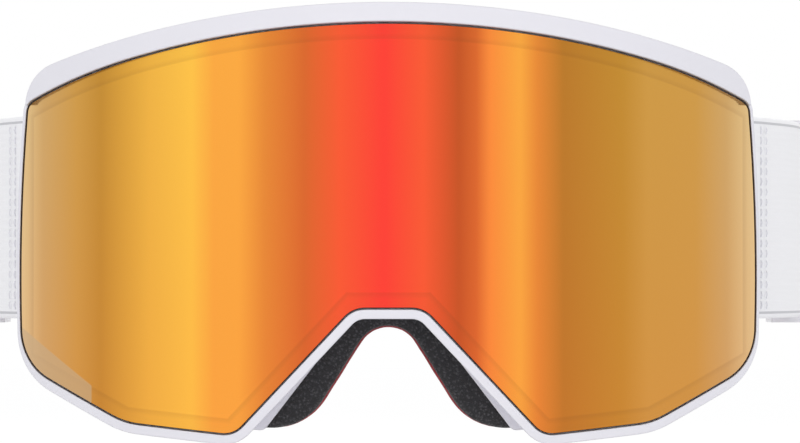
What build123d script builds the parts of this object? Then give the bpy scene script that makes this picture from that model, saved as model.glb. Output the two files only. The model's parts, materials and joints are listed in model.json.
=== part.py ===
from build123d import *
from collections import namedtuple
from math import asin, cos, degrees, radians, sin, sqrt
import os

# Ski goggles, in millimetres. X is the wearer's left, -Y the way the wearer looks, +Z up.
# The origin is the middle of the face seal, level with the strap.

# Lens outline, front view
LENS_TOP = 42.7            # height of the top edge in the middle
TOP_RADIUS = 250.0         # long arc over the middle
TOP_TURN_X = 60.0          # where the shoulder arc takes over
SHOULDER_RADIUS = 150.0
LENS_SIDE = 87.75          # half width
SIDE_RADIUS = 420.0
SIDE_WIDEST_Z = -14.0
CHEEK_X, CHEEK_Z = 87.6, -34.8      # corner under the side
JAW_X, JAW_Z = 61.0, -48.0          # corner at the bottom
TEMPLE_ROUND, CHEEK_ROUND, JAW_ROUND = 3.0, 13.0, 18.0
SMALLEST_ROUND = 2.0
Notch = namedtuple("Notch", "arch corner_x foot_x foot_z arch_round foot_round")
LENS_NOTCH = Notch(-21.5, 8.1, 35.3, -50.4, 6.5, 5.5)
FLANGE_NOTCH = Notch(-22.5, 7.5, 28.8, -50.2, 5.0, 2.0)
FOAM_NOTCH = Notch(-25.9, 4.4, 19.6, -50.2, 7.9, 14.0)

# Wrap: every layer is bent round an upright axis
WRAP_RADIUS = 105.0
LENS_APEX = -40.0          # front of the lens, on the middle line
LENS_AXIS = LENS_APEX + WRAP_RADIUS
OUTER_LENS_WALL = 1.5
GASKET_WALL = 0.8
INNER_LENS_WALL = 0.8
AIR_GAP = 3.0              # between the two lenses
SEAT_GAP = 0.3
SEAT_WALL = 3.0

# Margins from the lens outline: top, side, low, nose
LIP_GAP = 0.5
GASKET_LIP = 0.2           # the dark line round the lens
RIM = (1.5, 1.3, 2.6, 2.6)
SEAT = (-6.5, -9.0, -6.5, -6.5)
TUNNEL = (1.5, -7.0, -0.5, 1.6)
FLANGE = (0.5, -7.0, 0.0, 0.0)
FOAM = (-1.0, -9.0, 0.0, 0.0)
EYES = (-13.0, -17.0, -13.0, -11.0)
GASKET_WIDTH = 6.2
INSERT_GAP = 0.4           # inner lens to the frame's seat
SPACER_WIDTH = 3.0
TUNNEL_WALL = 2.2

# Depths of the frame and the face pad, on the middle line
RIM_FRONT, RIM_REAR = -40.3, -33.0
BROW_FRONT = -42.4
TUNNEL_FRONT = -35.0
FLANGE_FRONT, FLANGE_REAR = -23.0, -20.0
FIRM_REAR, SOFT_REAR, FLEECE_REAR = -10.0, -3.0, 0.0
FLEECE_LAP = 0.3           # facing reaches past the foam

# Brow
BROW_TOP, BROW_RADIUS = 47.5, 270.0
BROW_SIDE, BROW_FOOT, BROW_ROUND = 86.5, 26.4, 10.0

# Vents
VENT_LONG, VENT_DEEP = 13.0, 5.0
VENT_FROM_REAR = 6.0
TOP_VENTS = (-54.0, -36.0, -18.0, 0.0, 18.0, 36.0, 54.0)
LOW_VENTS = (41.0, 57.0)
FILTER_WALL = 2.5
FILTER_GAP = 0.15
FILTER_LAP = 3.0

# Magnets
MAGNET_D, MAGNET_H = 4.5, 2.0
MAGNET_INSET = 3.1
MAGNET_SINK = 0.05         # flat face of a disc under the curved one
MAGNET_TOP_X = (30.0, 66.0)
MAGNET_LOW_X = 48.0
MAGNET_SIDE_Z = -8.0

# Strap arms and their hinges
HINGE_X, HINGE_Y = 84.6, 19.5
KNUCKLE_R, KNUCKLE_HALF = 3.0, 21.5
EAR_GAP, EAR_H = 0.5, 3.0
PIN_D, PIN_PLAY, PIN_LONG = 2.5, 0.3, 8.0
ARM_WALL = 2.6
ARM_FRONT_BAR = (22.9, 25.1)         # Y of the bar in front of the slot
BAR_X, BAR_Y, BAR_R = 86.8, 30.0, 1.2
RAIL_H = 2.6
WEB_WIDE, WEB_THICK = 49.6, 1.6
WEB_PLAY = 0.2                       # webbing edge to rail
BAR_PLAY = 0.15                      # webbing to the bar that it folds round

# Strap route, seen from above
LEAVE_ANGLE = 41.0
STRAIGHT_X = 104.7
STRAIGHT_LONG = 40.0
REAR_RADIUS, REAR_TURN = 70.0, 75.0
LAYER_STEP = 2.2
SPLIT_TURN = 10.0                    # angle left in the front arc where the back strap begins

# Adjusters
ADJUSTER_HALF = 7.5
ADJUSTER_BAR_W, ADJUSTER_BAR_T = 3.0, 1.6
ADJUSTER_RAIL_H = 1.5
ADJUSTER_GAP = 0.3
CENTRE_BAR_R = 1.0

# Grip lines inside the strap
GRIP_Z = (-16.0, -8.0, 0.0, 8.0, 16.0)
GRIP_H, GRIP_T = 2.4, 0.4

# Room for the cutting solids
FAR = 400.0
PRISM_FRONT, PRISM_REAR = -60.0, 50.0


def moved_line(p, q, margin):
    """The line from p to q, moved to its left: a point and a direction."""
    d = (q - p).normalized()
    return p + Vector(-d.Y, d.X) * margin, d


def cross_lines(first, second):
    (p, d), (q, e) = first, second
    return p + d * ((q - p).cross(e).Z / d.cross(e).Z)


def enter_circle(centre, radius, line):
    """Where the line enters the circle."""
    p, d = line
    near = p + d * (centre - p).dot(d)
    return near - d * sqrt(radius**2 - (near - centre).length**2)


def cross_circles(c1, r1, c2, r2):
    """The crossing on the right of the way from c1 to c2."""
    gap = (c2 - c1).length
    u = (c2 - c1).normalized()
    along = (r1**2 - r2**2 + gap**2) / (2 * gap)
    return c1 + u * along + Vector(u.Y, -u.X) * sqrt(r1**2 - along**2)


def arc_about(centre, p, q):
    """The short arc from p to q."""
    middle = ((p + q) * 0.5 - centre).normalized() * (p - centre).length + centre
    return ThreePointArc(p, middle, q)


def both_sides(half):
    return half + mirror(half, Plane.YZ)


def turn_angle():
    return asin(TOP_TURN_X / TOP_RADIUS)


def top_centres():
    c1 = Vector(0, LENS_TOP - TOP_RADIUS)
    way = Vector(sin(turn_angle()), cos(turn_angle()))
    return c1, c1 + way * (TOP_RADIUS - SHOULDER_RADIUS), way


def outline(margins, notch=LENS_NOTCH):
    """Front view of a layer whose edge lies outside the lens outline by the four margins."""
    top, side, low, nose = margins
    c1, c2, way = top_centres()
    c3 = Vector(LENS_SIDE - SIDE_RADIUS, SIDE_WIDEST_Z)
    cheek, jaw = Vector(CHEEK_X, CHEEK_Z), Vector(JAW_X, JAW_Z)
    foot, corner = Vector(notch.foot_x, notch.foot_z), Vector(notch.corner_x, notch.arch)
    cheek_line = moved_line(cheek, jaw, low)
    jaw_line = moved_line(jaw, foot, low)
    nose_line = moved_line(foot, corner, nose)
    arch_line = moved_line(corner, Vector(0, notch.arch), nose)

    start = Vector(0, LENS_TOP + top)
    turn = c1 + way * (TOP_RADIUS + top)
    a = cross_circles(c2, SHOULDER_RADIUS + top, c3, SIDE_RADIUS + side)
    c = enter_circle(c3, SIDE_RADIUS + side, cheek_line)
    d = cross_lines(cheek_line, jaw_line)
    e = cross_lines(jaw_line, nose_line)
    f = cross_lines(nose_line, arch_line)
    end = Vector(0, notch.arch - nose)
    half = make_face([
        arc_about(c1, start, turn), arc_about(c2, turn, a), arc_about(c3, a, c),
        Line(c, d), Line(d, e), Line(e, f), Line(f, end), Line(end, start),
    ])
    rounds = (
        (a, TEMPLE_ROUND + side), (c, CHEEK_ROUND + low), (d, JAW_ROUND + low),
        (e, notch.foot_round + low), (f, notch.arch_round - nose),
    )
    for point, radius in rounds:
        corner_vertex = half.vertices().sort_by_distance(point)[0]
        half = fillet(corner_vertex, max(radius, SMALLEST_ROUND))
    return both_sides(half)


def grown(margins, by):
    return tuple(m + by for m in margins)


def prism(face, front=PRISM_FRONT, rear=PRISM_REAR):
    """The front-view face, carried along Y."""
    return extrude(Plane.XZ.offset(-rear) * face, amount=rear - front)


def drum(apex):
    return Pos(0, apex + WRAP_RADIUS, 0) * Cylinder(WRAP_RADIUS, FAR)


def barrel(radius):
    """Solid cylinder about the lens's own axis."""
    return Pos(0, LENS_AXIS, 0) * Cylinder(radius, FAR)


def wrap_y(apex, x):
    return apex + WRAP_RADIUS - sqrt(WRAP_RADIUS**2 - x**2)


def layer(face, front, rear):
    """A sheet between two wrapped surfaces with these apexes."""
    return prism(face) & drum(front) - drum(rear)


def lens_layer(face, outer_radius, wall):
    return prism(face) & barrel(outer_radius) - barrel(outer_radius - wall)


GASKET_R = WRAP_RADIUS - OUTER_LENS_WALL
SEAT_R = GASKET_R - GASKET_WALL - SEAT_GAP
INNER_LENS_R = GASKET_R - AIR_GAP
INSERT = grown(SEAT, -INSERT_GAP)
FLUSH = (0.0, 0.0, 0.0, 0.0)


def magnet_places():
    """X and Z of the magnets on the wearer's left."""
    c1, c2, _ = top_centres()
    places = []
    for x in MAGNET_TOP_X:
        centre, radius = (c1, TOP_RADIUS) if x < TOP_TURN_X else (c2, SHOULDER_RADIUS)
        places.append((x, centre.Y + sqrt((radius - MAGNET_INSET) ** 2 - (x - centre.X) ** 2)))
    places.append((LENS_SIDE - MAGNET_INSET, MAGNET_SIDE_Z))
    slope = (LENS_NOTCH.foot_z - JAW_Z) / (LENS_NOTCH.foot_x - JAW_X)
    places.append((MAGNET_LOW_X, JAW_Z + slope * (MAGNET_LOW_X - JAW_X) + MAGNET_INSET))
    return places


def discs(outer_radius, height):
    """A disc at each magnet place, its outer face at this radius from the lens's axis."""
    out = []
    for x, z in magnet_places():
        for side in (1, -1):
            angle = degrees(asin(x / outer_radius)) * side
            disc = Pos(0, MAGNET_SINK + height / 2 - outer_radius, z) * Rot(90, 0, 0)
            out.append(Pos(0, LENS_AXIS, 0) * Rot(0, 0, angle) * disc * Cylinder(MAGNET_D / 2, height))
    return Part(children=[]) + out


def block(x, y, z):
    """Box from three (low, high) pairs."""
    size = [b - a for a, b in (x, y, z)]
    return Pos(*[(a + b) / 2 for a, b in (x, y, z)]) * Box(*size)


def upright(x, y, radius, low, high):
    return Pos(x, y, (low + high) / 2) * Cylinder(radius, high - low)


def vent_slots():
    cuts = []
    for x in TOP_VENTS:
        y = wrap_y(FLANGE_FRONT, x) - VENT_FROM_REAR
        cuts.append(block((x - VENT_LONG / 2, x + VENT_LONG / 2),
                          (y - VENT_DEEP / 2, y + VENT_DEEP / 2), (0, FAR / 2)))
    for x in LOW_VENTS:
        for side in (1, -1):
            y = wrap_y(FLANGE_FRONT, x) - VENT_FROM_REAR
            cuts.append(block((side * x - VENT_LONG / 2, side * x + VENT_LONG / 2),
                              (y - VENT_DEEP / 2, y + VENT_DEEP / 2), (-FAR / 2, 0)))
    return cuts


def hinge_ears():
    ears = []
    low = KNUCKLE_HALF + EAR_GAP
    for bottom in (low, -low - EAR_H):
        plate = block((HINGE_X - KNUCKLE_R, HINGE_X + KNUCKLE_R), (0, HINGE_Y), (bottom, bottom + EAR_H))
        ear = plate & barrel(SEAT_R - 1)
        ears.append(ear + upright(HINGE_X, HINGE_Y, KNUCKLE_R, bottom, bottom + EAR_H))
    return both_sides(ears[0] + ears[1])


def pins():
    """Upper and lower pin of the hinge on the wearer's left."""
    top = KNUCKLE_HALF + EAR_GAP + EAR_H + PIN_PLAY
    upper = upright(HINGE_X, HINGE_Y, PIN_D / 2, top - PIN_LONG, top)
    return upper + mirror(upper, Plane.XY)


def make_brow():
    c = Vector(0, BROW_TOP - BROW_RADIUS)
    corner = Vector(BROW_SIDE, c.Y + sqrt(BROW_RADIUS**2 - BROW_SIDE**2))
    foot, middle, start = Vector(BROW_SIDE, 0), Vector(0, 0), Vector(0, BROW_TOP)
    half = make_face([arc_about(c, start, corner), Line(corner, foot), Line(foot, middle),
                      Line(middle, start)])
    half = fillet(half.vertices().sort_by_distance(corner)[0], BROW_ROUND)
    above = Pos(0, BROW_FOOT + FAR / 2) * Rectangle(FAR, FAR)
    return layer(both_sides(half) & above, BROW_FRONT, TUNNEL_FRONT)


def make_frame():
    opening = prism(outline(grown(FLUSH, LIP_GAP)))
    front = layer(outline(RIM), RIM_FRONT, RIM_REAR) + make_brow() - opening
    seat = prism(outline(RIM) - outline(SEAT)) & barrel(SEAT_R) - barrel(SEAT_R - SEAT_WALL)
    tube = outline(TUNNEL) - outline(grown(TUNNEL, -TUNNEL_WALL))
    tunnel = (prism(tube) & barrel(SEAT_R - SEAT_WALL / 2)) - drum(FLANGE_FRONT)
    body = front + seat + tunnel - vent_slots() + hinge_ears()
    return body - both_sides(pins()) - discs(SEAT_R, MAGNET_H)


def make_filter(x_low, x_high, top):
    """Filter foam against the inside of the tunnel, over the vents."""
    skin = grown(TUNNEL, -TUNNEL_WALL - FILTER_GAP)
    ring = outline(skin) - outline(grown(skin, -FILTER_WALL))
    z = (0, FAR / 2) if top else (-FAR / 2, 0)
    sheet = layer(ring, FLANGE_FRONT - VENT_FROM_REAR - VENT_DEEP, FLANGE_FRONT)
    return sheet & barrel(SEAT_R - SEAT_WALL - FILTER_GAP) & block((x_low, x_high), (PRISM_FRONT, PRISM_REAR), z)


def pad(front, rear, lap=0.0):
    return layer(outline(grown(FOAM, lap), FOAM_NOTCH) - outline(EYES), front, rear)


def ring_of(outer, width):
    return outline(outer) - outline(grown(outer, -width))


def strap_points():
    """Corner points of the strap's middle surface, from the arm's bar to the back of the head."""
    radius = (STRAIGHT_X - BAR_X) / (1 - cos(radians(LEAVE_ANGLE)))
    centre = Vector(STRAIGHT_X - radius, BAR_Y + radius * sin(radians(LEAVE_ANGLE)))
    return radius, centre


def front_route(inset, from_turn, to_turn):
    """Arc of the side of the strap, between two angles left before it runs straight back."""
    radius, centre = strap_points()
    return CenterArc(centre, radius - inset, -from_turn, from_turn - to_turn)


def band(route, wide=WEB_WIDE, thick=WEB_THICK):
    """Upright webbing along a route in the plane of X and Y."""
    edges = route if isinstance(route, list) else [route]
    face = make_face(Wire(edges).offset_2d(thick / 2, side=Side.BOTH))
    return Pos(0, 0, -wide / 2) * extrude(face, amount=wide)


def square_ended(solid, plane_y, keep_rear):
    """Cuts the rounded end of a band off square."""
    y = (plane_y, FAR) if keep_rear else (-FAR, plane_y)
    return solid & block((-FAR, FAR), y, (-FAR / 2, FAR / 2))


def split_y():
    radius, centre = strap_points()
    return centre.Y - radius * sin(radians(SPLIT_TURN))


def make_strap_front():
    """Webbing that leaves the arm: outer layer, fold round the bar, inner layer."""
    fold_r = BAR_R + BAR_PLAY + WEB_THICK / 2
    reach = LEAVE_ANGLE - 0.5
    outer = band(front_route(-LAYER_STEP / 2, reach, 0))
    inner = band(front_route(LAYER_STEP / 2, reach, 0))
    fold = upright(BAR_X, BAR_Y, fold_r + WEB_THICK / 2, -WEB_WIDE / 2, WEB_WIDE / 2)
    bar_room = upright(BAR_X, BAR_Y, BAR_R + BAR_PLAY, -FAR / 2, FAR / 2)
    return square_ended(outer + inner + fold - bar_room, split_y(), False)


def straight_end():
    return strap_points()[1].Y + STRAIGHT_LONG


def back_route(inset):
    """The outer layer behind the split: front arc, straight run, rear arc, back of the head."""
    radius, centre = strap_points()
    x = STRAIGHT_X - inset
    y = straight_end()
    turn = radians(REAR_TURN)
    rear_centre = Vector(STRAIGHT_X - REAR_RADIUS, y)
    rear_r = REAR_RADIUS - inset
    rear_end = rear_centre + Vector(cos(turn), sin(turn)) * rear_r
    back_r = rear_end.X / cos(turn)
    back_centre = Vector(0, rear_end.Y - back_r * sin(turn))
    return [
        CenterArc(centre, radius - inset, -SPLIT_TURN, SPLIT_TURN),
        Line((x, centre.Y), (x, y)),
        CenterArc(rear_centre, rear_r, 0, REAR_TURN),
        CenterArc(back_centre, back_r, REAR_TURN, 90 - REAR_TURN),
    ]


def make_strap_back():
    half = square_ended(band(back_route(-LAYER_STEP / 2)), split_y(), True)
    return both_sides(half & block((0, FAR), (-FAR, FAR), (-FAR / 2, FAR / 2)))


def centre_bar_x():
    """The bar that the inner layer folds round, inside that layer."""
    return STRAIGHT_X - LAYER_STEP / 2 - WEB_THICK / 2 - BAR_PLAY - CENTRE_BAR_R


def make_tail():
    """Inner layer, from the split to the adjuster's middle bar."""
    x = STRAIGHT_X - LAYER_STEP / 2
    y = straight_end() - STRAIGHT_LONG / 2
    radius, centre = strap_points()
    route = [CenterArc(centre, radius - LAYER_STEP / 2, -SPLIT_TURN, SPLIT_TURN),
             Line((x, centre.Y), (x, y))]
    inner_r = CENTRE_BAR_R + BAR_PLAY
    fold = upright(centre_bar_x(), y, inner_r + WEB_THICK, -WEB_WIDE / 2, WEB_WIDE / 2)
    room = upright(centre_bar_x(), y, inner_r, -FAR / 2, FAR / 2)
    return square_ended(band(route) + fold - room, split_y(), True)


def make_adjuster():
    outer_face = STRAIGHT_X + LAYER_STEP / 2 + WEB_THICK / 2 + ADJUSTER_GAP
    bar_x = centre_bar_x()
    y = straight_end() - STRAIGHT_LONG / 2
    edge = WEB_WIDE / 2 + WEB_PLAY
    rail = block((bar_x - CENTRE_BAR_R, outer_face + ADJUSTER_BAR_T),
                 (y - ADJUSTER_HALF, y + ADJUSTER_HALF), (edge, edge + ADJUSTER_RAIL_H))
    end_bar = block((outer_face, outer_face + ADJUSTER_BAR_T),
                    (y - ADJUSTER_HALF, y - ADJUSTER_HALF + ADJUSTER_BAR_W), (-edge, edge))
    far_bar = Pos(0, 2 * ADJUSTER_HALF - ADJUSTER_BAR_W, 0) * end_bar
    middle = upright(bar_x, y, CENTRE_BAR_R, -edge, edge)
    return rail + mirror(rail, Plane.XY) + end_bar + far_bar + middle


def make_arm():
    """Strap arm: knuckle, plate and the ring that the webbing folds through."""
    edge = WEB_WIDE / 2 + WEB_PLAY
    knuckle = upright(HINGE_X, HINGE_Y, KNUCKLE_R, -KNUCKLE_HALF, KNUCKLE_HALF)
    x = (HINGE_X - ARM_WALL / 2, HINGE_X + ARM_WALL / 2)
    plate = block(x, (HINGE_Y, ARM_FRONT_BAR[1]), (-KNUCKLE_HALF, KNUCKLE_HALF))
    bar = block(x, ARM_FRONT_BAR, (-edge - RAIL_H, edge + RAIL_H))
    slant = Polyline((x[0], ARM_FRONT_BAR[0]), (x[1], ARM_FRONT_BAR[0]),
                     (BAR_X + BAR_R, BAR_Y), (BAR_X - BAR_R, BAR_Y), close=True)
    rail = Pos(0, 0, edge) * extrude(make_face(slant), amount=RAIL_H)
    rail += upright(BAR_X, BAR_Y, BAR_R, edge, edge + RAIL_H)
    strap_bar = upright(BAR_X, BAR_Y, BAR_R, -edge - RAIL_H, edge + RAIL_H)
    arm = knuckle + plate + bar + rail + mirror(rail, Plane.XY) + strap_bar
    hole_top = KNUCKLE_HALF + EAR_GAP + EAR_H
    hole = upright(HINGE_X, HINGE_Y, (PIN_D + PIN_PLAY) / 2, hole_top - PIN_LONG, FAR / 2)
    ear_room = upright(HINGE_X, HINGE_Y, KNUCKLE_R + EAR_GAP, KNUCKLE_HALF, edge)
    return arm - hole - mirror(hole, Plane.XY) - ear_room - mirror(ear_room, Plane.XY)


def make_grips():
    y = straight_end()
    inset = WEB_THICK / 2 + GRIP_T / 2 - LAYER_STEP / 2
    route = back_route(inset)[2:]
    strips = [Pos(0, 0, z) * band(route, GRIP_H, GRIP_T) for z in GRIP_Z]
    half = (Part() + strips) & block((0, FAR), (y, FAR), (-FAR / 2, FAR / 2))
    return both_sides(half)


def make_gasket():
    ring = ring_of(grown(FLUSH, GASKET_LIP), GASKET_WIDTH)
    return lens_layer(ring, GASKET_R, GASKET_WALL) - discs(GASKET_R, GASKET_WALL)


filter_x = TOP_VENTS[-1] + VENT_LONG / 2 + FILTER_LAP
low_x = (LOW_VENTS[0] - VENT_LONG / 2 - FILTER_LAP, LOW_VENTS[-1] + VENT_LONG / 2 + FILTER_LAP)
parts = {
    "frame": make_frame(),
    "face_frame": layer(outline(FLANGE, FLANGE_NOTCH) - outline(EYES), FLANGE_FRONT, FLANGE_REAR),
    "foam_firm": pad(FLANGE_REAR, FIRM_REAR),
    "foam_soft": pad(FIRM_REAR, SOFT_REAR),
    "foam_fleece": pad(SOFT_REAR, FLEECE_REAR, FLEECE_LAP),
    "vent_foam_top": make_filter(-filter_x, filter_x, True),
    "vent_foam_low_left": make_filter(low_x[0], low_x[1], False),
    "vent_foam_low_right": make_filter(-low_x[1], -low_x[0], False),
    "frame_magnets": discs(SEAT_R, MAGNET_H),
    "outer_lens": lens_layer(outline(FLUSH), WRAP_RADIUS, OUTER_LENS_WALL),
    "lens_gasket": make_gasket(),
    "lens_keepers": discs(GASKET_R, GASKET_WALL),
    "lens_spacer": lens_layer(ring_of(INSERT, SPACER_WIDTH), GASKET_R, AIR_GAP),
    "inner_lens": lens_layer(outline(INSERT), INNER_LENS_R, INNER_LENS_WALL),
    "strap_back": make_strap_back(),
    "strap_grips": make_grips(),
}
pairs = {
    "hinge_pins": pins(),
    "outrigger": make_arm(),
    "strap_front": make_strap_front(),
    "strap_tail": make_tail(),
    "adjuster": make_adjuster(),
}
for name, piece in pairs.items():
    parts[name + "_left"] = piece
    parts[name + "_right"] = mirror(piece, Plane.YZ)

os.makedirs("parts", exist_ok=True)
for name, piece in parts.items():
    export_step(piece, f"parts/{name}.step")
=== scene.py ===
import json
from math import atan2, cos, pi, radians, sin
import bmesh
import bpy
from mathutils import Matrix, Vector


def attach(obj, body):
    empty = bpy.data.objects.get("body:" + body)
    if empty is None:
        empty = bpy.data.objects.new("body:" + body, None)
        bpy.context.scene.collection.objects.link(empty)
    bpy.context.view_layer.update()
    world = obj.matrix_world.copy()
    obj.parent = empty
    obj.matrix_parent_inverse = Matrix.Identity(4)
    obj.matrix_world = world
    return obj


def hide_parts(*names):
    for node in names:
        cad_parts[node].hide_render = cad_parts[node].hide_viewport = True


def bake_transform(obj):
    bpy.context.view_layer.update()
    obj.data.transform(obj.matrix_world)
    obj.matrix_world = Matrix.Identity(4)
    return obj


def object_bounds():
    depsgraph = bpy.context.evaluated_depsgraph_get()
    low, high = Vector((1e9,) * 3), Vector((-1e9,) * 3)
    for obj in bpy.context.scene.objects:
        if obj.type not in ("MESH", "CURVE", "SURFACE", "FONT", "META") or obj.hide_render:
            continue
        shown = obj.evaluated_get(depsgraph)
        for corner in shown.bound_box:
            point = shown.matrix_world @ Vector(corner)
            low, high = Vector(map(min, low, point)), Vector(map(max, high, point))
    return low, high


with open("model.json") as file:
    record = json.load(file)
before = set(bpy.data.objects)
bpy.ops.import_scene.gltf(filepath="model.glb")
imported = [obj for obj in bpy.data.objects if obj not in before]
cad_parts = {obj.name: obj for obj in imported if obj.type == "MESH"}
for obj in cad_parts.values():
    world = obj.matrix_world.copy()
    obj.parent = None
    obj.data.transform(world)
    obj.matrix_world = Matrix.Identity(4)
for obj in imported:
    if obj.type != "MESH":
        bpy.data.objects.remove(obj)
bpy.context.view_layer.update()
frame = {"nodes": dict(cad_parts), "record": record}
nodes = frame["nodes"]
MM = 0.001
ROOT = "goggle_frame"

# Strap route from part.py, in metres: side arc, straight run, rear arc, back arc
BAR = Vector((0.0868, 0.0300))
STRAIGHT_X = 0.1047
LEAVE = radians(41.0)
STRAIGHT_LONG = 0.040
REAR_RADIUS, REAR_TURN = 0.070, radians(75.0)
SPLIT = radians(10.0)
LAYER = 0.0011             # from the route to the middle of either layer
WEB_WIDE, WEB_THICK = 0.0496, 0.0016
FOLD_R = 0.00215           # middle of the webbing round the arm's bar
TAIL_FOLD_R = 0.00195      # and round the adjuster's bar
SIDE_RADIUS = (STRAIGHT_X - BAR.x) / (1 - cos(LEAVE))
SIDE_CENTRE = Vector((STRAIGHT_X - SIDE_RADIUS, BAR.y + SIDE_RADIUS * sin(LEAVE)))
STEP = 0.0012


# ---------------------------------------------------------------- materials

def linear(r, g, b):
    """An sRGB colour in 0 to 255 as linear RGBA."""
    def one(c):
        c /= 255
        return c / 12.92 if c <= 0.04045 else ((c + 0.055) / 1.055) ** 2.4
    return one(r), one(g), one(b), 1.0


# Sockets of Blender's Mix node when it mixes colours: factor, A, B, and the result
MIX_COLOUR_INPUTS, MIX_COLOUR_OUTPUT = (0, 6, 7), 2


class Shader:
    """A material with a principled shader and short ways to add nodes."""

    def __init__(self, name, colour, roughness, **sockets):
        self.mat = bpy.data.materials.new(name)
        self.mat.use_nodes = True
        self.tree = self.mat.node_tree
        self.bsdf = self.tree.nodes["Principled BSDF"]
        self.set(self.bsdf, "Base Color", linear(*colour))
        self.set(self.bsdf, "Roughness", roughness)
        for key, value in sockets.items():
            self.set(self.bsdf, key.replace("_", " "), value)
        self.coord = self.tree.nodes.new("ShaderNodeTexCoord").outputs["Object"]

    def set(self, node, socket, value):
        if isinstance(value, bpy.types.NodeSocket):
            self.tree.links.new(value, node.inputs[socket])
        else:
            node.inputs[socket].default_value = value

    def add(self, kind, out, **sockets):
        node = self.tree.nodes.new("ShaderNode" + kind)
        for key, value in sockets.items():
            self.set(node, key, value)
        return node.outputs[out]

    def math(self, operation, a, b=0.0, clamp=False):
        node = self.tree.nodes.new("ShaderNodeMath")
        node.operation, node.use_clamp = operation, clamp
        self.set(node, 0, a)
        self.set(node, 1, b)
        return node.outputs[0]

    def axes(self, vector):
        """X, Y and Z of a vector."""
        split = self.tree.nodes.new("ShaderNodeSeparateXYZ")
        self.set(split, 0, vector)
        return split.outputs

    def noise(self, scale, detail=4.0):
        return self.add("TexNoise", "Fac", Vector=self.coord, Scale=scale, Detail=detail)

    def mix(self, fac, a, b):
        node = self.tree.nodes.new("ShaderNodeMix")
        node.data_type = "RGBA"
        for index, value in zip(MIX_COLOUR_INPUTS, (fac, a, b)):
            self.set(node, index, value)
        return node.outputs[MIX_COLOUR_OUTPUT]

    def ramp(self, fac, stops):
        """A colour ramp; stops are (place from 0 to 1, colour)."""
        node = self.tree.nodes.new("ShaderNodeValToRGB")
        elements = node.color_ramp.elements
        elements.remove(elements[1])
        elements[0].position, elements[0].color = stops[0]
        for place, colour in stops[1:]:
            elements.new(place).color = colour
        self.tree.links.new(fac, node.inputs["Fac"])
        return node.outputs["Color"]

    def bump(self, height, strength, distance, normal=None):
        args = {"Height": height, "Strength": strength, "Distance": distance}
        if normal is not None:
            args["Normal"] = normal
        return self.add("Bump", "Normal", **args)

    def speckle(self, colour, other, scale, strength):
        """Base colour that drifts a little towards the other one."""
        fac = self.math("MULTIPLY", self.noise(scale), strength)
        self.set(self.bsdf, "Base Color", self.mix(fac, linear(*colour), linear(*other)))


BEVEL_SAMPLES = 6


def moulded(name, colour, shade, roughness, grain=0.04 * MM, edge=0.5 * MM, coat=0.0):
    """Moulded plastic: fine grain, softened edges, faint handling marks."""
    s = Shader(name, colour, roughness, Coat_Weight=coat, Coat_Roughness=0.25)
    s.speckle(colour, shade, 60.0, 0.35)
    soft = s.add("Bevel", "Normal", Radius=edge)
    soft.node.samples = BEVEL_SAMPLES
    s.set(s.bsdf, "Normal", s.bump(s.noise(1400.0, 2.0), 0.25, grain, soft))
    marks = s.math("MULTIPLY", s.noise(35.0, 6.0), 0.14)
    s.set(s.bsdf, "Roughness", s.math("ADD", marks, roughness - 0.07))
    return s.mat


def foam(name, colour, light, cell, depth):
    """Open-cell foam: pits of two sizes, darker inside."""
    s = Shader(name, colour, 0.95, Sheen_Weight=0.15, Sheen_Roughness=0.6)
    big = s.add("TexVoronoi", "Distance", Vector=s.coord, Scale=cell)
    small = s.add("TexVoronoi", "Distance", Vector=s.coord, Scale=cell * 2.3)
    height = s.math("ADD", big, s.math("MULTIPLY", small, 0.5))
    s.set(s.bsdf, "Base Color", s.ramp(height, [(0.15, linear(*light)), (0.75, linear(*colour))]))
    s.set(s.bsdf, "Normal", s.bump(height, 0.7, depth))
    return s.mat


def fleece():
    s = Shader("red_fleece", (186, 60, 66), 0.9, Sheen_Weight=0.5, Sheen_Roughness=0.4)
    s.speckle((192, 66, 72), (140, 36, 44), 1100.0, 1.0)
    nap = s.math("ADD", s.noise(2600.0, 3.0), s.noise(500.0, 4.0))
    s.set(s.bsdf, "Normal", s.bump(nap, 0.8, 0.25 * MM))
    return s.mat


# Mirror coating: red in the middle to gold at the sides, painted by place for a hue that shifts
# with the angle of view, and light and dark bars that are painted reflections of strip lights
PALE_GOLD, SAND, OCHRE = (230, 198, 136), (206, 164, 96), (206, 154, 66)
BRONZE, DARK_BRONZE, HONEY = (195, 140, 45), (187, 122, 36), (240, 180, 65)
GOLD, AMBER, TANGERINE = (255, 195, 70), (252, 170, 62), (252, 140, 56)
ORANGE, COPPER, RUST = (232, 138, 50), (220, 104, 40), (198, 84, 30)
VERMILION, RED = (250, 90, 48), (255, 62, 50)
# Its bars from the wearer's right to left, painted reflections of strip lights on the coating: X in
# millimetres and the colour there
HUE_AND_REFLECTION_BARS = [
    (-88, PALE_GOLD), (-82, SAND), (-73, OCHRE), (-67, BRONZE), (-55, HONEY), (-45, GOLD),
    (-40, AMBER), (-34, AMBER), (-28, ORANGE), (-19, COPPER), (-11, VERMILION), (-1, RED),
    (8, VERMILION), (16, RUST), (20, COPPER), (23, TANGERINE), (30, AMBER), (34, ORANGE),
    (40, DARK_BRONZE), (54, BRONZE), (60, OCHRE), (72, OCHRE), (80, SAND), (88, PALE_GOLD),
]
LENS_HALF = 88.0
REDDENING_TOP, REDDENING = 0.04, 1.3      # metres, and share per metre
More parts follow.
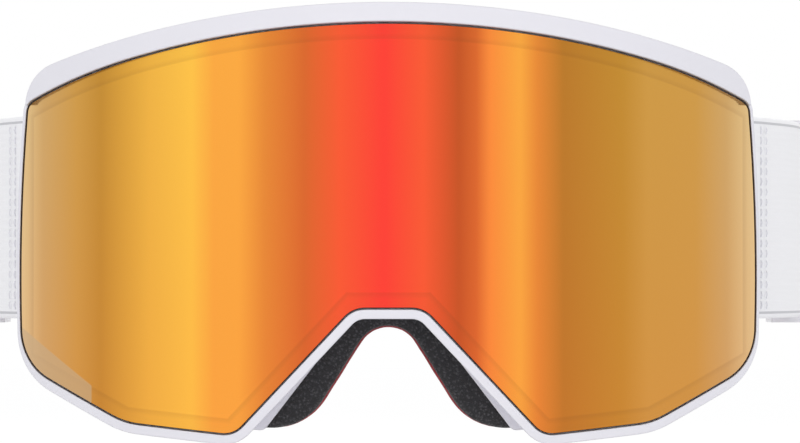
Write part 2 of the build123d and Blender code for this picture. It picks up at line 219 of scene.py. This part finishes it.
# Lens outline, in millimetres, for the marks that follow its edge
TOP_ARC = ((0.0, -207.3), 250.0)
SHOULDER_ARC = ((24.0, -110.3), 150.0)
TOP_TURN_X = 60.0
SIDE_X, NOTCH_TOP_Z = 87.75, -21.5
LOW_EDGE = ((87.6, -34.8), (61.0, -48.0), (35.3, -50.4))
NOSE_EDGE = ((35.3, -50.4), (8.1, NOTCH_TOP_Z))
INNER_LENS_IN = 3.4        # the inner lens's edge shows this far in
INNER_LINE_WIDE = 0.9
SOFT_EDGE = 0.3
# Clear strip over the corner of the lens: it lies below this line and outside this X
STRIP_SLOPE, STRIP_LEVEL, STRIP_END_X = 0.725, 90.1, -69.2


def edge_distance(s, x, z):
    """Nodes for the distance in from the lens's edge, in millimetres."""
    def from_arc(arc):
        (cx, cz), radius = arc
        dx, dz = s.math("SUBTRACT", x, cx), s.math("SUBTRACT", z, cz)
        squares = s.math("ADD", s.math("MULTIPLY", dx, dx), s.math("MULTIPLY", dz, dz))
        return s.math("SUBTRACT", radius, s.math("SQRT", squares))

    def from_line(p, q):
        way = (Vector(q) - Vector(p)).normalized()
        along = s.math("MULTIPLY", s.math("SUBTRACT", x, p[0]), way.y)
        return s.math("SUBTRACT", along, s.math("MULTIPLY", s.math("SUBTRACT", z, p[1]), way.x))

    outer = s.math("GREATER_THAN", x, TOP_TURN_X)
    middle = s.math("MULTIPLY", s.math("SUBTRACT", 1.0, outer), from_arc(TOP_ARC))
    top = s.math("ADD", middle, s.math("MULTIPLY", outer, from_arc(SHOULDER_ARC)))
    side = s.math("SUBTRACT", SIDE_X, x)
    low = s.math("MINIMUM", from_line(*LOW_EDGE[:2]), from_line(*LOW_EDGE[1:]))
    nose = s.math("MAXIMUM", from_line(*NOSE_EDGE), s.math("SUBTRACT", z, NOTCH_TOP_Z))
    return s.math("MINIMUM", s.math("MINIMUM", top, nose), s.math("MINIMUM", side, low))


def soft_step(s, value, edge, width):
    """0 below the edge and 1 above it, over this width."""
    return s.math("MULTIPLY", s.math("SUBTRACT", value, edge - width / 2), 1 / width, clamp=True)


def mirror_lens():
    """Mirror coating in upright bars that are painted reflections of strip lights, with the inner
    lens's edge showing through faintly.
    """
    s = Shader("mirror_lens", (230, 150, 60), 0.16,
               Metallic=1.0, Coat_Weight=0.25, Coat_Roughness=0.05)
    axes = s.axes(s.coord)
    x = s.math("MULTIPLY", axes["X"], 1 / (2 * LENS_HALF * MM))
    place = s.math("ADD", x, 0.5)
    stops = [((mm + LENS_HALF) / (2 * LENS_HALF), linear(*rgb)) for mm, rgb in HUE_AND_REFLECTION_BARS]
    # Coating hue with painted reflections of strip lights as light and dark bars
    hue_and_reflection_bars = s.ramp(place, stops)
    # Redder towards the bottom
    low = s.math("MULTIPLY", s.math("SUBTRACT", REDDENING_TOP, axes["Z"]), REDDENING, clamp=True)
    hue_and_reflection_bars = s.mix(low, hue_and_reflection_bars, linear(250, 60, 44))
    x_mm = s.math("MULTIPLY", axes["X"], 1 / MM)
    z_mm = s.math("MULTIPLY", axes["Z"], 1 / MM)
    inside = edge_distance(s, s.math("ABSOLUTE", x_mm), z_mm)
    past = s.math("SUBTRACT", 1.0, soft_step(s, inside, INNER_LENS_IN, SOFT_EDGE))
    line = soft_step(s, inside, INNER_LENS_IN - INNER_LINE_WIDE, INNER_LINE_WIDE)
    line = s.math("MULTIPLY", past, line)
    shade = s.math("ADD", s.math("MULTIPLY", past, 0.05), s.math("MULTIPLY", line, 0.10))
    hue_and_reflection_bars = s.mix(shade, hue_and_reflection_bars, linear(120, 70, 30))
    above = s.math("ADD", s.math("ADD", z_mm, STRIP_LEVEL), s.math("MULTIPLY", x_mm, STRIP_SLOPE))
    strip = s.math("SUBTRACT", 1.0, soft_step(s, above, 0.0, SOFT_EDGE))
    outer = s.math("SUBTRACT", 1.0, soft_step(s, x_mm, STRIP_END_X, SOFT_EDGE))
    strip = s.math("MULTIPLY", strip, outer)
    s.set(s.bsdf, "Base Color", s.mix(s.math("MULTIPLY", strip, 0.7), hue_and_reflection_bars, linear(198, 166, 124)))
    haze = s.math("MULTIPLY", s.noise(90.0, 5.0), 0.06)
    s.set(s.bsdf, "Roughness", s.math("ADD", haze, 0.13))
    s.set(s.bsdf, "Normal", s.bump(s.noise(12.0, 1.0), 0.03, 0.4 * MM))
    return s.mat


def clear_lens():
    s = Shader("clear_lens", (238, 226, 208), 0.06, Transmission_Weight=0.9, IOR=1.5)
    mist = s.math("MULTIPLY", s.noise(60.0, 5.0), 0.08)
    s.set(s.bsdf, "Roughness", s.math("ADD", mist, 0.03))
    return s.mat


def dark_seal():
    s = Shader("dark_seal", (78, 74, 76), 0.7)
    s.speckle((78, 74, 76), (104, 100, 102), 300.0, 0.5)
    s.set(s.bsdf, "Normal", s.bump(s.noise(1800.0), 0.4, 0.06 * MM))
    return s.mat


def steel():
    s = Shader("steel", (190, 190, 195), 0.3, Metallic=1.0)
    brush = s.noise(2500.0, 2.0)
    s.set(s.bsdf, "Roughness", s.math("ADD", s.math("MULTIPLY", brush, 0.2), 0.22))
    s.set(s.bsdf, "Normal", s.bump(brush, 0.15, 0.02 * MM))
    return s.mat


def silicone():
    s = Shader("clear_silicone", (222, 224, 230), 0.35, Coat_Weight=0.4, Coat_Roughness=0.2)
    s.speckle((222, 224, 230), (196, 198, 206), 200.0, 0.5)
    s.set(s.bsdf, "Normal", s.bump(s.noise(900.0), 0.3, 0.05 * MM))
    return s.mat


RIB_PITCH = 0.8 * MM
PICK_PITCH = 0.62 * MM
# A grey line of painted shade where the selvedge rounds off: its distance from the middle, and half
# its width
SELVEDGE_SHADE_Z, SELVEDGE_SHADE_HALF = 23.4 * MM, 0.3 * MM


def webbing_cloth():
    """Woven elastic: ribs along it, picks across it, and a grey line of painted shade near each
    edge where the selvedge rounds off.
    """
    s = Shader("white_webbing", (248, 248, 251), 0.72, Sheen_Weight=0.25, Sheen_Roughness=0.4)
    axes = s.axes(s.add("UVMap", "UV"))
    along, across = axes["X"], axes["Y"]
    pick = s.math("SINE", s.math("MULTIPLY", along, 2 * pi / PICK_PITCH))
    rib = s.math("SINE", s.math("MULTIPLY", across, 2 * pi / RIB_PITCH))
    weave = s.math("MULTIPLY", pick, rib)
    fuzz = s.math("MULTIPLY", s.noise(1500.0, 3.0), 0.5)
    weave = s.math("ADD", s.math("MULTIPLY", weave, 0.35), fuzz)
    # Painted shade along the rounded selvedge: a grey line near either edge
    off = s.math("ABSOLUTE", s.math("SUBTRACT", s.math("ABSOLUTE", across), SELVEDGE_SHADE_Z))
    line = s.math("MULTIPLY", s.math("LESS_THAN", off, SELVEDGE_SHADE_HALF), 0.55)
    # Painted shade: darker where the weave is low, in its hollows
    base = s.mix(s.math("MULTIPLY", s.math("LESS_THAN", weave, 0.0), 0.25),
                 linear(248, 248, 251), linear(222, 221, 228))
    s.set(s.bsdf, "Base Color", s.mix(line, base, linear(150, 150, 158)))
    s.set(s.bsdf, "Normal", s.bump(weave, 0.5, 0.10 * MM))
    return s.mat


MATERIALS = {
    "white_frame": moulded("white_frame", (233, 232, 239), (222, 221, 231), 0.42, coat=0.15),
    "white_arm": moulded("white_arm", (236, 236, 241), (222, 222, 230), 0.32,
                         edge=0.3 * MM, coat=0.3),
    "dark_foam": foam("dark_foam", (44, 43, 45), (88, 87, 90), 1300.0, 0.35 * MM),
    "filter_foam": foam("filter_foam", (30, 30, 31), (74, 74, 76), 700.0, 0.6 * MM),
    "red_fleece": fleece(),
    "steel": steel(),
    "mirror_lens": mirror_lens(),
    "clear_lens": clear_lens(),
    "dark_seal": dark_seal(),
    "white_webbing": webbing_cloth(),
    "clear_silicone": silicone(),
}


def paint(obj, slot):
    obj.data.materials.clear()
    obj.data.materials.append(MATERIALS[slot])


# ---------------------------------------------------------------- soft pieces

def new_object(name, mesh):
    obj = bpy.data.objects.new(name, mesh)
    bpy.context.scene.collection.objects.link(obj)
    return obj


def applied(obj):
    """The object's mesh with its modifiers applied."""
    bpy.context.view_layer.update()
    graph = bpy.context.evaluated_depsgraph_get()
    mesh = bpy.data.meshes.new_from_object(obj.evaluated_get(graph))
    obj.modifiers.clear()
    obj.data = mesh
    return obj


FOAM_GRAIN = 4 * MM


def foam_piece(node, slot, voxel, rounds, crumb, swell=0.0):
    """A foam pad: rounded edges and a slightly uneven skin, in the space of its CAD solid."""
    obj = new_object(node + "_pad", nodes[node].data.copy())
    remesh = obj.modifiers.new("remesh", "REMESH")
    remesh.mode, remesh.voxel_size = "VOXEL", voxel
    smooth = obj.modifiers.new("smooth", "SMOOTH")
    smooth.factor, smooth.iterations = 0.5, rounds
    texture = bpy.data.textures.new(node + "_skin", "CLOUDS")
    texture.noise_scale = FOAM_GRAIN
    uneven = obj.modifiers.new("uneven", "DISPLACE")
    uneven.texture, uneven.strength, uneven.mid_level = texture, crumb, 0.5 - swell / crumb
    applied(obj)
    obj.data.shade_smooth()
    paint(obj, slot)
    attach(obj, ROOT)
    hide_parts(node)


def arc(centre, radius, start, end):
    """Points of an arc, an even step apart."""
    count = max(2, int(abs(end - start) * radius / STEP))
    angles = [start + (end - start) * i / count for i in range(count + 1)]
    return [centre + Vector((cos(a), sin(a))) * radius for a in angles]


def run(p, q):
    count = max(1, int((q - p).length / STEP))
    return [p + (q - p) * (i / count) for i in range(1, count + 1)]


RIBS = 31
RIB_POINTS = 4
RIB_HEIGHT = 0.05 * MM
SELVEDGE = 1.4 * MM
EDGE_LEAST = 0.12          # share of the thickness left at the very edge


def web_profile():
    """Cross-section of the webbing, half of it: (distance from the middle surface, Z)."""
    count = RIBS * RIB_POINTS
    out = []
    for i in range(count + 1):
        z = WEB_WIDE * (i / count - 0.5)
        rib = RIB_HEIGHT * cos(2 * pi * i / RIB_POINTS)
        to_edge = min(1.0, (WEB_WIDE / 2 - abs(z)) / SELVEDGE)
        round_off = (to_edge * (2 - to_edge)) ** 0.5
        out.append(((WEB_THICK / 2 - RIB_HEIGHT + rib) * max(round_off, EDGE_LEAST), z))
    return out


def ribbon(name, path, side=1):
    """Webbing along a route seen from above; side -1 mirrors it to the wearer's right."""
    half = web_profile()
    loop = half + [(-d, z) for d, z in reversed(half)]
    mesh = bpy.data.meshes.new(name)
    bm = bmesh.new()
    rings, length, lengths = [], 0.0, []
    for i, p in enumerate(path):
        before, after = path[max(i - 1, 0)], path[min(i + 1, len(path) - 1)]
        way = (after - before).normalized()
        normal = Vector((way.y, -way.x))
        if i:
            length += (p - path[i - 1]).length
        lengths.append(length)
        rings.append([bm.verts.new((side * (p.x + normal.x * d), p.y + normal.y * d, z))
                      for d, z in loop])
    uv = bm.loops.layers.uv.new("UVMap")
    n = len(loop)
    for i in range(len(rings) - 1):
        for j in range(n):
            k = (j + 1) % n
            face = bm.faces.new((rings[i][j], rings[i + 1][j], rings[i + 1][k], rings[i][k]))
            corners = ((i, j), (i + 1, j), (i + 1, k), (i, k))
            for corner, (a, b) in zip(face.loops, corners):
                corner[uv].uv = (lengths[a], loop[b][1])
    for ring in (rings[0], rings[-1]):
        bm.faces.new(ring)
    bmesh.ops.recalc_face_normals(bm, faces=bm.faces)
    bm.to_mesh(mesh)
    bm.free()
    mesh.shade_smooth()
    obj = new_object(name, mesh)
    paint(obj, "white_webbing")
    return obj


EASE_ANGLE = radians(11.0)


def layer_offset(angle):
    """How far a layer lies from the route, where this angle of the side arc is left to turn."""
    t = min(1.0, max(0.0, (LEAVE - angle) / EASE_ANGLE))
    return LAYER + (FOLD_R - LAYER) * (1 - t * t * (3 - 2 * t))


def side_points(sign, start, end, count=44):
    """A layer over the side arc, between two angles left before the straight run."""
    out = []
    for i in range(count + 1):
        angle = start + (end - start) * i / count
        radius = SIDE_RADIUS + sign * layer_offset(angle)
        out.append(SIDE_CENTRE + Vector((cos(angle), -sin(angle))) * radius)
    return out


def front_path():
    """From the split along the inner layer, round the arm's bar, and back along the outer layer."""
    inner = side_points(-1, SPLIT, LEAVE)
    outer = side_points(1, LEAVE, SPLIT)
    out_way = atan2(outer[0].y - BAR.y, outer[0].x - BAR.x)
    fold = [BAR + Vector((cos(out_way - a), sin(out_way - a))) * FOLD_R
            for a in [pi * i / 16 for i in range(15, 0, -1)]]
    return inner + fold + outer


def back_path(offset):
    """The outer layer of one side, from the split to the middle of the back of the head."""
    end_y = SIDE_CENTRE.y + STRAIGHT_LONG
    path = arc(SIDE_CENTRE, SIDE_RADIUS + offset, -SPLIT, 0)
    path += run(path[-1], Vector((STRAIGHT_X + offset, end_y)))
    rear = Vector((STRAIGHT_X - REAR_RADIUS, end_y))
    path += arc(rear, REAR_RADIUS + offset, 0, REAR_TURN)[1:]
    corner = path[-1]
    radius = corner.x / cos(REAR_TURN)
    centre = Vector((0, corner.y - radius * sin(REAR_TURN)))
    return path + arc(centre, radius, REAR_TURN, pi / 2)[1:]


TAIL_END_LONG = 5 * MM


def tail_path():
    """The inner layer, from the split to the adjuster's middle bar and round it."""
    mid_y = SIDE_CENTRE.y + STRAIGHT_LONG / 2
    x = STRAIGHT_X - LAYER
    path = arc(SIDE_CENTRE, SIDE_RADIUS - LAYER, -SPLIT, 0)
    path += run(path[-1], Vector((x, mid_y)))
    bar = Vector((x - TAIL_FOLD_R, mid_y))
    path += arc(bar, TAIL_FOLD_R, 0, pi)[1:]
    return path + run(path[-1], path[-1] + Vector((0, -TAIL_END_LONG)))


THREAD_R, STITCH_HALF = 0.17 * MM, 0.9 * MM
STITCH_ARCH = ((-STITCH_HALF, -0.15 * MM), (0, 0.1 * MM), (STITCH_HALF, -0.15 * MM))
SEAM_STITCHES, SEAM_SHARE = 18, 0.92      # in each row, and their share of the webbing's width
SEAM_IN, SEAM_ROW_GAP = radians(3.5), 2.4 * MM


def stitches(name, places, side):
    """Short arched threads on the webbing: places are (point, (thread's way, outward way))."""
    curve = bpy.data.curves.new(name, "CURVE")
    curve.dimensions, curve.bevel_depth, curve.bevel_resolution = "3D", THREAD_R, 2
    for p, (way, out) in places:
        spline = curve.splines.new("POLY")
        spline.points.add(len(STITCH_ARCH) - 1)
        for point, (d, lift) in zip(spline.points, STITCH_ARCH):
            q = p + way * d + out * lift
            point.co = (side * q.x, q.y, q.z, 1)
    obj = new_object(name, curve)
    graph = bpy.context.evaluated_depsgraph_get()
    mesh = bpy.data.meshes.new_from_object(obj.evaluated_get(graph))
    bpy.data.objects.remove(obj)
    obj = new_object(name, mesh)
    obj.data.materials.append(MATERIALS["white_arm"])
    return obj


def rows_across(radius, angle, spacing):
    """Two stitch rows across the strap's outer face, at this angle on the side arc."""
    places = []
    for row in (0, 1):
        a = angle - row * spacing / radius
        out = Vector((cos(a), -sin(a), 0))
        base = Vector((SIDE_CENTRE.x, SIDE_CENTRE.y, 0)) + out * (radius + WEB_THICK / 2)
        for i in range(SEAM_STITCHES):
            z = WEB_WIDE * SEAM_SHARE * ((i + 0.5) / SEAM_STITCHES - 0.5)
            places.append((base + Vector((0, 0, z)), (Vector((0, 0, 1)), out)))
    return places


def build_strap():
    right = back_path(LAYER)
    whole = right + [Vector((-p.x, p.y)) for p in reversed(right[:-1])]
    back = ribbon("strap_back_web", whole)
    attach(back, ROOT)
    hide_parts("strap_back")
    for name, side in (("left", 1), ("right", -1)):
        front = ribbon("strap_front_web_" + name, front_path(), side)
        seam = stitches("strap_front_stitch_" + name,
                        rows_across(SIDE_RADIUS + FOLD_R, LEAVE - SEAM_IN, SEAM_ROW_GAP), side)
        for piece in (front, seam):
            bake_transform(piece)
        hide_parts("strap_front_" + name)
        tail = ribbon("strap_tail_web_" + name, tail_path(), side)
        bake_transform(tail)
        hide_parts("strap_tail_" + name)


def build_soft():
    foam_piece("foam_firm", "dark_foam", voxel=0.9 * MM, rounds=3, crumb=0.25 * MM)
    foam_piece("foam_soft", "dark_foam", voxel=0.9 * MM, rounds=3, crumb=0.3 * MM)
    foam_piece("foam_fleece", "red_fleece", voxel=0.7 * MM, rounds=2, crumb=0.2 * MM,
               swell=0.25 * MM)
    for node in ("vent_foam_top", "vent_foam_low_left", "vent_foam_low_right"):
        foam_piece(node, "filter_foam", voxel=0.6 * MM, rounds=1, crumb=0.3 * MM)


build_soft()
build_strap()
for entry in frame["record"]["subparts"]:
    if not nodes[entry["node"]].hide_render:
        paint(nodes[entry["node"]], entry["material_slot"])


# ---------------------------------------------------------------- stage, light and camera

WORLD_LIGHT = 0.72
FLOOR_DROP = 0.06
EYE = (0, -0.850, -0.0146)
AIM_RIGHT, AIM_UP = radians(0.1871), radians(0.8877)
LENS_MM, SENSOR_MM = 161.19, 36.0
FLOOR_SIZE, FLOOR_GLOW, FLOOR_GLOW_SHARE = 6.0, 1.08, 0.8


def white_to_camera(tree):
    """1 for camera, glossy and transmission rays, which see a plain white background."""
    path = tree.nodes.new("ShaderNodeLightPath")
    seen = path.outputs["Is Camera Ray"]
    for key in ("Is Glossy Ray", "Is Transmission Ray"):
        top = tree.nodes.new("ShaderNodeMath")
        top.operation = "MAXIMUM"
        tree.links.new(seen, top.inputs[0])
        tree.links.new(path.outputs[key], top.inputs[1])
        seen = top.outputs[0]
    return seen


def build_world():
    world = bpy.data.worlds.new("studio")
    bpy.context.scene.world = world
    world.use_nodes = True
    tree = world.node_tree
    background = tree.nodes["Background"]
    background.inputs["Color"].default_value = (1, 1, 1, 1)
    background.inputs["Strength"].default_value = WORLD_LIGHT
    white = tree.nodes.new("ShaderNodeBackground")
    white.inputs["Strength"].default_value = 1.0
    white.inputs["Color"].default_value = (1, 1, 1, 1)
    mix = tree.nodes.new("ShaderNodeMixShader")
    tree.links.new(white_to_camera(tree), mix.inputs[0])
    tree.links.new(background.outputs[0], mix.inputs[1])
    tree.links.new(white.outputs[0], mix.inputs[2])
    tree.links.new(mix.outputs[0], tree.nodes["World Output"].inputs["Surface"])


def build_floor():
    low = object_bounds()[0]
    bpy.ops.mesh.primitive_plane_add(size=FLOOR_SIZE, location=(0, 0, low[2] - FLOOR_DROP))
    floor = bpy.context.object
    floor.name = "floor"
    mat = bpy.data.materials.new("floor")
    mat.use_nodes = True
    tree = mat.node_tree
    bsdf = tree.nodes["Principled BSDF"]
    bsdf.inputs["Base Color"].default_value = (0.86, 0.86, 0.87, 1)
    bsdf.inputs["Roughness"].default_value = 0.9
    glow = tree.nodes.new("ShaderNodeEmission")
    glow.inputs["Strength"].default_value = FLOOR_GLOW
    mix = tree.nodes.new("ShaderNodeMixShader")
    share = tree.nodes.new("ShaderNodeMath")
    share.operation, share.inputs[1].default_value = "MULTIPLY", FLOOR_GLOW_SHARE
    tree.links.new(white_to_camera(tree), share.inputs[0])
    tree.links.new(share.outputs[0], mix.inputs[0])
    tree.links.new(bsdf.outputs[0], mix.inputs[1])
    tree.links.new(glow.outputs[0], mix.inputs[2])
    tree.links.new(mix.outputs[0], tree.nodes["Material Output"].inputs["Surface"])
    floor.data.materials.append(mat)


def area_light(name, place, size, power, mirrored=True):
    """A soft lamp aimed at the object; mirrored says whether glossy surfaces show it."""
    light = bpy.data.lights.new(name, "AREA")
    light.size, light.energy = size, power
    obj = new_object(name, light)
    obj.location = place
    obj.rotation_euler = (-Vector(place)).to_track_quat("-Z", "Y").to_euler()
    obj.visible_glossy = mirrored


build_world()
build_floor()
area_light("key", (-0.5, -0.9, 0.9), size=0.9, power=3.2)
area_light("fill", (0.9, -0.6, 0.3), size=1.0, power=1.4, mirrored=False)
area_light("front", (0.0, -1.4, -0.05), size=0.8, power=3.2, mirrored=False)
area_light("rim", (0.2, 0.9, 0.8), size=0.9, power=3.0)

camera = bpy.data.cameras.new("camera")
camera.sensor_width, camera.lens = SENSOR_MM, LENS_MM
eye = new_object("camera", camera)
eye.location = EYE
eye.rotation_euler = (pi / 2 + AIM_UP, 0, -AIM_RIGHT)
bpy.context.scene.camera = eye
bpy.context.scene.view_settings.view_transform = "Standard"
